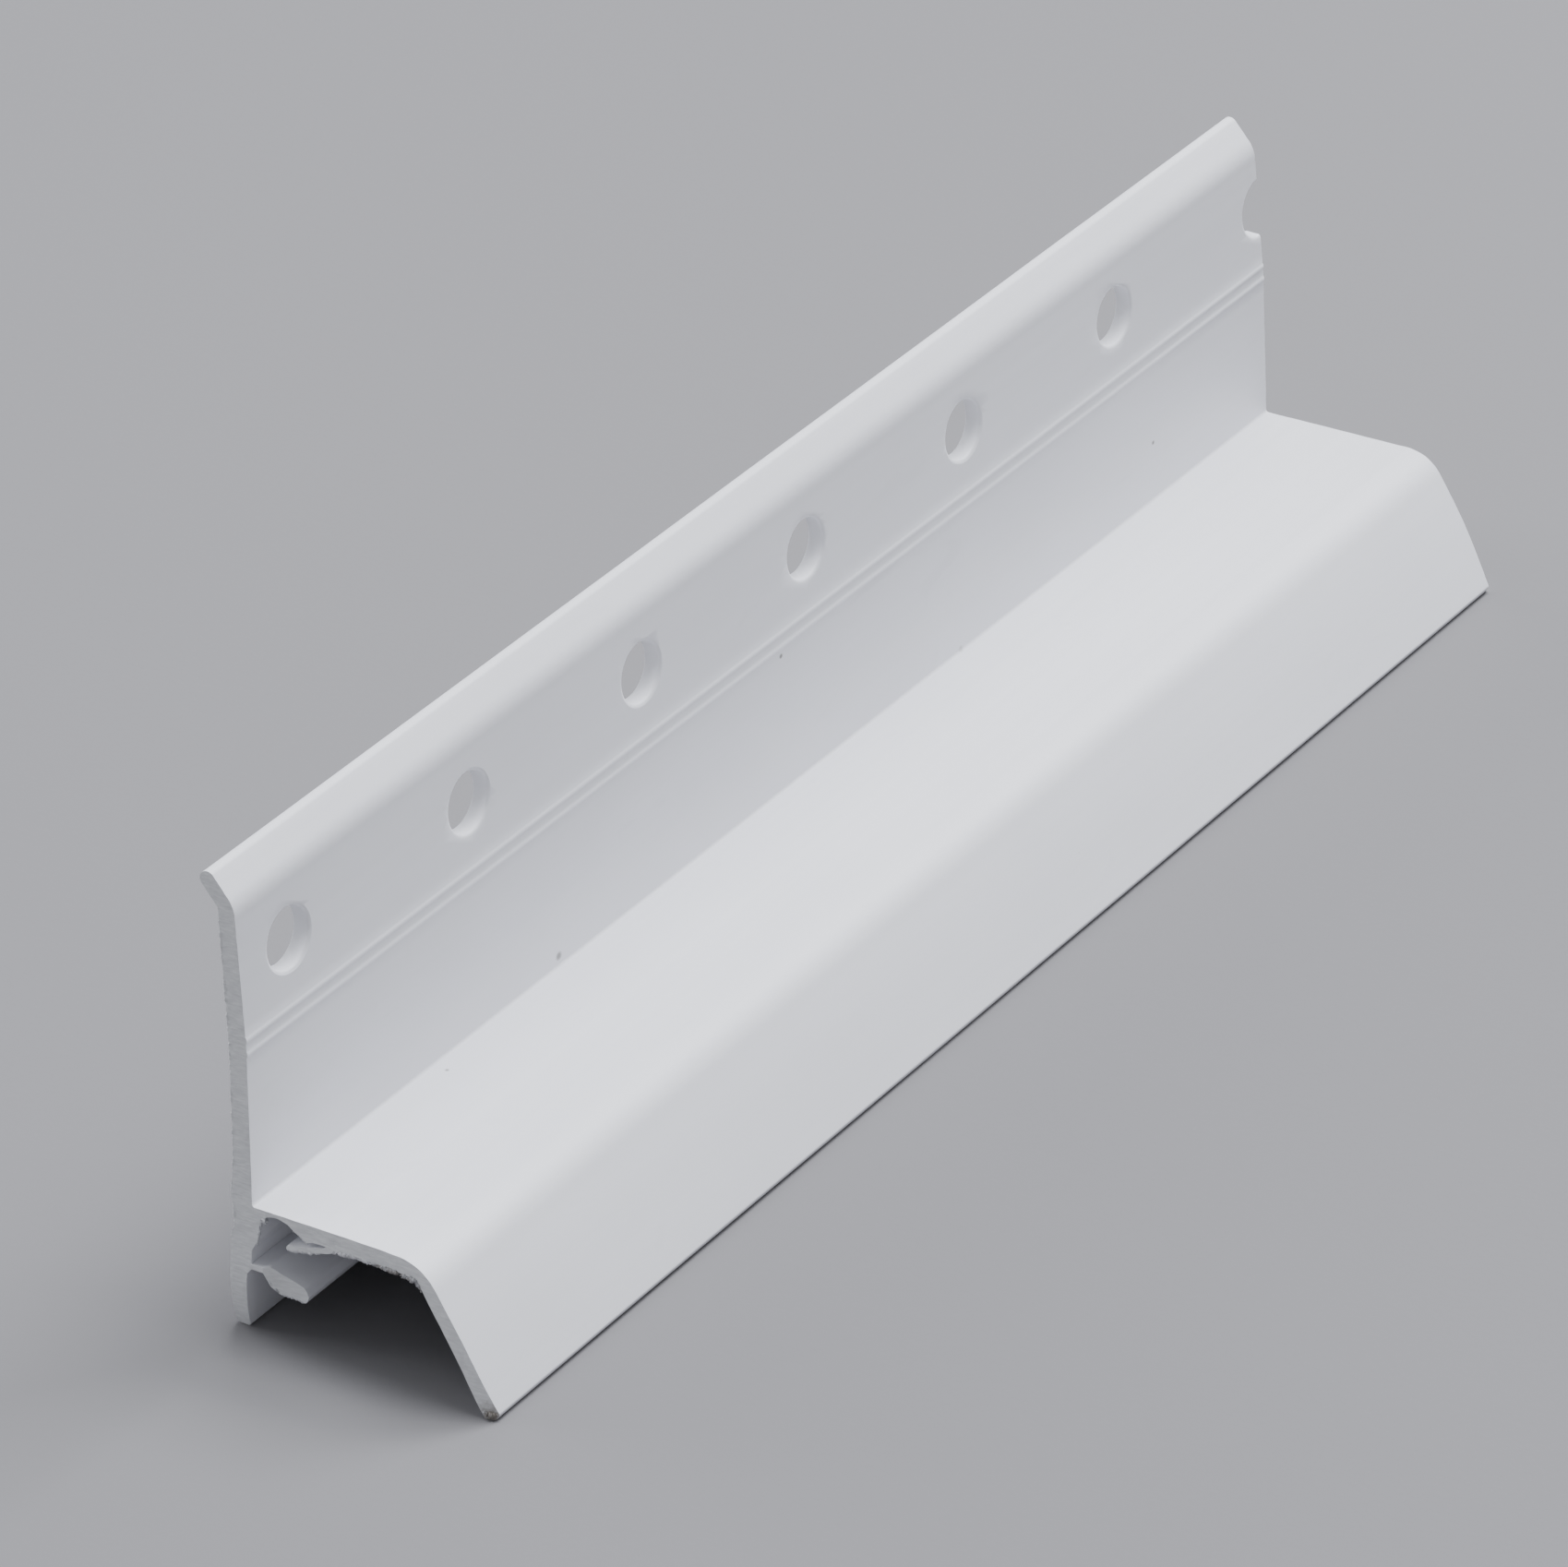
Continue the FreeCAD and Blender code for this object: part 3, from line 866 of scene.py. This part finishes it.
class SweepLook(bpy.types.PropertyGroup):
    """Colours and finish."""

    plastic_colour: FloatVectorProperty(
        name="Plastic", description="Colour of the drawn faces", subtype="COLOR",
        default=(0.786, 0.787, 0.823), min=0.0, max=1.0)
    sawn_colour: FloatVectorProperty(
        name="Sawn ends", description="Colour of the sawn faces", subtype="COLOR",
        default=(0.76, 0.765, 0.78), min=0.0, max=1.0)
    soil_colour: FloatVectorProperty(
        name="Soil", description="Colour of the dirt in the torn edges", subtype="COLOR",
        default=(0.17, 0.145, 0.115), min=0.0, max=1.0)
    speck_colour: FloatVectorProperty(
        name="Specks", description="Colour of the tiny specks", subtype="COLOR",
        default=(0.24, 0.23, 0.22), min=0.0, max=1.0)
    gloss: FloatProperty(
        name="Roughness", description="Roughness of the drawn faces",
        default=0.52, min=0.0, max=1.0)
    # Strength of the painted highlight along the rib crests
    rubbed_crest: FloatProperty(
        name="Painted rib highlight", description="How much paler the painted highlight makes the rib crests",
        default=1.07, min=1.0, max=1.2, subtype="FACTOR")
    mottle: FloatProperty(
        name="Mottle", description="Strength of the faint cloudiness",
        default=0.5, min=0.0, max=1.0)
    floor_colour: FloatVectorProperty(
        name="Floor", description="Colour of the studio floor", subtype="COLOR",
        default=(0.197, 0.193, 0.200), min=0.0, max=1.0)


class SweepStage(bpy.types.PropertyGroup):
    """Studio light."""

    sky: FloatProperty(
        name="Room light", description="Strength of the light from all round",
        default=0.47, min=0.0, max=5.0)
    overhead: FloatProperty(
        name="Overhead light", description="Power of the softbox above",
        default=8.5, min=0.0, max=200.0, unit="POWER")
    side: FloatProperty(
        name="Side light", description="Power of the softbox beyond the right-hand end",
        default=7.9, min=0.0, max=200.0, unit="POWER")
    rear: FloatProperty(
        name="Rear light", description="Power of the softbox above and behind",
        default=5.2, min=0.0, max=200.0, unit="POWER")
    back: FloatProperty(
        name="Back light", description="Power of the softbox that fills the door side",
        default=6.0, min=0.0, max=200.0, unit="POWER")


# --- operators ---
class SWEEP_OT_finishes(bpy.types.Operator):
    """Make the plastic and floor finishes"""

    bl_idname = "sweep.finishes"
    bl_label = "Finishes"

    def execute(self, context):
        look = context.scene.sweep_look
        makers = (satin_white_pvc, sawn_white_pvc, torn_pvc, grimy_pvc, soiled_pvc, studio_paper)
        for make in makers:
            make(look)
        return {"FINISHED"}


class SWEEP_OT_fixing_flange(bpy.types.Operator):
    """Make the perforated flange with its fine upper rib"""

    bl_idname = "sweep.fixing_flange"
    bl_label = "Fixing flange"

    def execute(self, context):
        sizes = context.scene.sweep_sizes
        obj = drawn_piece("perforated_flange", flange_section(), 1.0)
        first = (FIRST_HOLE_X, *place(flange_front(HOLE_UP) + FLANGE_WALL / 2, HOLE_UP))
        baked(obj, tree_named("Punched Holes", punched_holes_tree), first=first, pitch=HOLE_PITCH,
              count=sizes.hole_count, radius=sizes.hole_radius, rim=sizes.rim,
              half_wall=FLANGE_WALL * MM / 2, lean=FLANGE_SLOPE,
              material=bpy.data.materials["satin_white_pvc"])
        finish_piece(obj, "plate", "fixing_flange")
        return {"FINISHED"}


class SWEEP_OT_back_wall(bpy.types.Operator):
    """Make the back wall with its lower rib and its foot"""

    bl_idname = "sweep.back_wall"
    bl_label = "Back wall and foot"

    def execute(self, context):
        limb("back_wall_and_foot", wall_section(), 1.0, "plate", "back_plate")
        return {"FINISHED"}


class SWEEP_OT_top_lip(bpy.types.Operator):
    """Make the lip, which bends out of the flange's top"""

    bl_idname = "sweep.top_lip"
    bl_label = "Top lip"

    def execute(self, context):
        obj = limb("leaning_lip", lip_section(), 0.35, None, "top_lip")
        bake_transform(obj)
        return {"FINISHED"}


class SWEEP_OT_drip_hood(bpy.types.Operator):
    """Make the drip hood with its rounded bend and skirt"""

    bl_idname = "sweep.drip_hood"
    bl_label = "Drip hood"

    def execute(self, context):
        limb("hood_shell", hood_section(), 0.8, "hood", "drip_hood")
        return {"FINISHED"}


class SWEEP_OT_bending_necks(bpy.types.Operator):
    """Make the two thin necks that join the hood and the shelf to the wall"""

    bl_idname = "sweep.bending_necks"
    bl_label = "Bending necks"

    def execute(self, context):
        neck = limb("hood_neck", hood_neck_section(), 0.15, None, "hood_web")
        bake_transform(neck)
        neck = limb("shelf_neck", shelf_neck_section(), 0.15, None, "shelf_web")
        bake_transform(neck)
        return {"FINISHED"}


class SWEEP_OT_strip_socket(bpy.types.Operator):
    """Make the two jaws of the empty strip socket"""

    bl_idname = "sweep.strip_socket"
    bl_label = "Strip socket"

    def execute(self, context):
        tongue = limb("socket_tongue", tongue_section(), 0.3, None, "hood_tongue")
        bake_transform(tongue)
        limb("hooked_shelf", shelf_section(), 0.5, "shelf", "retaining_shelf")
        return {"FINISHED"}


# --- torn edges at the left-hand saw cut ---
BURR_INSET = 0.06 * MM
RIDGE_POINTS_PER_FLAKE = 5
FLAKE_SHARE, SCATTER_SHARE = 0.8, 0.7
# body, slot, finish, ridge radius in mm, flakes, seed, and the edge's path through the section
BURRS = {
    "hood_saw_burr": ("hood", "rigid_pvc", "torn_white_pvc", 0.15, 34, 5,
                      [(-8.0, -1.75), (-9.6, -1.60), (-12.2, -1.62)]),
    # the edge in the bend gets a finish darkened with painted shade as well as dirt
    "hood_bend_burr": ("hood", "rigid_pvc", "grimy_pvc", 0.18, 40, 37,
                       [(-11.8, -1.62), (-14.6, -1.60), (-16.2, -1.68), (-16.9, -2.45)]),
    "hood_root_burr": ("hood", "rigid_pvc", "torn_white_pvc", 0.08, 14, 7,
                       [(-4.0, -1.05), (-4.6, -1.3), (-5.4, -1.8)]),
    "tongue_saw_burr": ("tongue", "flexible_pvc", "torn_white_pvc", 0.12, 20, 17,
                        [(-3.5, -2.98), (-5.2, -2.72), (-6.6, -2.36)]),
    "skirt_tip_burr": ("hood", "rigid_pvc", "soiled_pvc", 0.24, 26, 8,
                       [(-22.75, -11.95), (-23.1, -12.1), (-23.5, -12.05), (-23.85, -11.85)]),
    "wall_saw_burr": ("plate", "rigid_pvc", "torn_white_pvc", 0.09, 18, 11,
                      [(-0.3, -3.6), (-0.6, -2.4), (-0.85, -1.15), (-1.2, -0.85)]),
    "wall_corner_burr": ("plate", "rigid_pvc", "torn_white_pvc", 0.2, 8, 31,
                         [(-0.85, -0.95), (-1.1, -1.05), (-1.35, -1.0)]),
    "wall_back_burr": ("plate", "rigid_pvc", "sawn_white_pvc", 0.08, 60, 23,
                       [(2.2, -3.4), (1.85, -2.3), (1.88, -0.4), (2.1, 0.4), (1.72, 4.2),
                        (1.7, 9.0), (1.7, 14.8)]),
    "flange_back_burr": ("plate", "rigid_pvc", "sawn_white_pvc", 0.08, 36, 29,
                         [(1.7, 15.0), (2.0, 21.0), (2.24, 26.2)]),
    "shelf_saw_burr": ("shelf", "rigid_pvc", "torn_white_pvc", 0.10, 34, 14,
                       [(-1.2, -6.7), (-1.5, -7.4), (-2.1, -8.0), (-3.2, -8.12), (-4.3, -8.25)]),
}


class SWEEP_OT_saw_burrs(bpy.types.Operator):
    """Make the torn edges that the saw left at the left-hand end"""

    bl_idname = "sweep.saw_burrs"
    bl_label = "Saw burrs"

    def execute(self, context):
        sizes = context.scene.sweep_sizes
        tree = tree_named("Saw Burr", saw_burr_tree)
        for name, (body, slot, finish, ridge, count, seed, path) in BURRS.items():
            spots = [place(*p) for p in path]
            verts = [(cut_x("left", body, y, z) + BURR_INSET, y, z) for y, z in spots]
            mesh = bpy.data.meshes.new(name)
            mesh.from_pydata(verts, [(i, i + 1) for i in range(len(verts) - 1)], [])
            obj = bpy.data.objects.new(name, mesh)
            context.scene.collection.objects.link(obj)
            radius = ridge * MM * sizes.burr_size
            baked(obj, tree, ridge_points=count * RIDGE_POINTS_PER_FLAKE, ridge=radius,
                  count=count, flake=radius * FLAKE_SHARE, scatter=radius * SCATTER_SHARE,
                  seed=seed, material=bpy.data.materials[finish])
            finish_piece(obj, body, None, plastic=False)
        return {"FINISHED"}


# --- the stage ---
# the camera's place in metres, how it is turned in degrees, and its lens and sensor in mm
CAMERA_SPOT = (-0.5687, -0.3866, 0.4231)
CAMERA_AZIMUTH = -55.04
CAMERA_ELEVATION = 30.64
CAMERA_ROLL = -1.98
CAMERA_LENS = 211.9
CAMERA_SENSOR = 36.0
CAMERA_NEAR = 0.01
# each softbox: its place, the point it looks at, and its side in metres
SOFTBOXES = {
    "overhead": ((0.1, -0.15, 1.0), (0, 0, 0), 0.42),
    "side": ((0.6, -0.2, 0.7), (0, 0, 0.01), 0.42),
    "rear": ((0.3, 0.1, 0.9), (0, 0, 0.01), 0.42),
    "back": ((-0.15, 0.9, 0.5), (0, 0, 0.02), 0.7),
}
STUDIO_WHITE = (0.93, 0.955, 1.0)
# the floor's half width, and how high it lies so that no piece shares its plane
FLOOR_HALF, FLOOR_Z = 2.5, -0.00005


def camera_turn():
    """Turn of a camera that looks along an azimuth, down by an elevation, and is rolled."""
    level = Matrix.Rotation(math.radians(CAMERA_AZIMUTH), 3, "Z")
    tip = Matrix.Rotation(math.radians(90.0 - CAMERA_ELEVATION), 3, "X")
    roll = Matrix.Rotation(math.radians(CAMERA_ROLL), 3, "Z")
    return (level @ tip @ roll).to_4x4()


def softbox(name, spot, aim, side, power):
    """A large soft light looking at a point."""
    lamp = bpy.data.lights.new(name, "AREA")
    lamp.shape = "RECTANGLE"
    lamp.size = lamp.size_y = side
    lamp.energy = power
    lamp.color = STUDIO_WHITE
    obj = bpy.data.objects.new(name, lamp)
    turn = (Vector(aim) - Vector(spot)).to_track_quat("-Z", "Y").to_matrix().to_4x4()
    obj.matrix_world = Matrix.Translation(spot) @ turn
    bpy.context.scene.collection.objects.link(obj)


class SWEEP_OT_stage(bpy.types.Operator):
    """Make the floor, the studio light and the camera"""

    bl_idname = "sweep.stage"
    bl_label = "Stage"

    def execute(self, context):
        scene = context.scene
        stage = scene.sweep_stage
        mesh = bpy.data.meshes.new("studio_floor")
        corners = [(-1, -1), (1, -1), (1, 1), (-1, 1)]
        corners = [(x * FLOOR_HALF, y * FLOOR_HALF, FLOOR_Z) for x, y in corners]
        mesh.from_pydata(corners, [], [(0, 1, 2, 3)])
        floor = bpy.data.objects.new("studio_floor", mesh)
        mesh.materials.append(bpy.data.materials["studio_paper"])
        scene.collection.objects.link(floor)
        world = bpy.data.worlds.new("soft_room")
        world.use_nodes = True
        sky = world.node_tree.nodes["Background"]
        sky.inputs["Color"].default_value = (*STUDIO_WHITE, 1.0)
        sky.inputs["Strength"].default_value = stage.sky
        scene.world = world
        for name, (spot, aim, side) in SOFTBOXES.items():
            softbox(name + "_softbox", spot, aim, side, getattr(stage, name))
        camera = bpy.data.cameras.new("camera")
        camera.lens = CAMERA_LENS
        camera.sensor_width = CAMERA_SENSOR
        camera.sensor_fit = "HORIZONTAL"
        camera.clip_start = CAMERA_NEAR
        eye = bpy.data.objects.new("camera", camera)
        eye.matrix_world = Matrix.Translation(CAMERA_SPOT) @ camera_turn()
        scene.collection.objects.link(eye)
        scene.camera = eye
        return {"FINISHED"}


class SWEEP_PT_panel(bpy.types.Panel):
    """The sweep's pieces and settings"""

    bl_idname = "SWEEP_PT_panel"
    bl_label = "Door Sweep"
    bl_space_type = "VIEW_3D"
    bl_region_type = "UI"
    bl_category = "Door Sweep"

    def draw(self, context):
        scene = context.scene
        for group in (scene.sweep_sizes, scene.sweep_look, scene.sweep_stage):
            box = self.layout.box()
            for name in group.__annotations__:
                box.prop(group, name)
        for operator in OPERATORS:
            self.layout.operator(operator.bl_idname)


OPERATORS = (
    SWEEP_OT_finishes,
    SWEEP_OT_fixing_flange,
    SWEEP_OT_back_wall,
    SWEEP_OT_top_lip,
    SWEEP_OT_drip_hood,
    SWEEP_OT_bending_necks,
    SWEEP_OT_strip_socket,
    SWEEP_OT_saw_burrs,
    SWEEP_OT_stage,
)
GROUPS = {"sweep_sizes": SweepSizes, "sweep_look": SweepLook, "sweep_stage": SweepStage}


def register():
    for cls in (*GROUPS.values(), *OPERATORS, SWEEP_PT_panel):
        bpy.utils.register_class(cls)
    for name, cls in GROUPS.items():
        setattr(bpy.types.Scene, name, PointerProperty(type=cls))


def unregister():
    for name in GROUPS:
        delattr(bpy.types.Scene, name)
    for cls in reversed((*GROUPS.values(), *OPERATORS, SWEEP_PT_panel)):
        bpy.utils.unregister_class(cls)


def main():
    register()
    bpy.ops.sweep.finishes()
    bpy.ops.sweep.fixing_flange()
    bpy.ops.sweep.back_wall()
    bpy.ops.sweep.top_lip()
    bpy.ops.sweep.drip_hood()
    bpy.ops.sweep.bending_necks()
    bpy.ops.sweep.strip_socket()
    bpy.ops.sweep.saw_burrs()
    bpy.ops.sweep.stage()


if __name__ == "__main__":
    main()
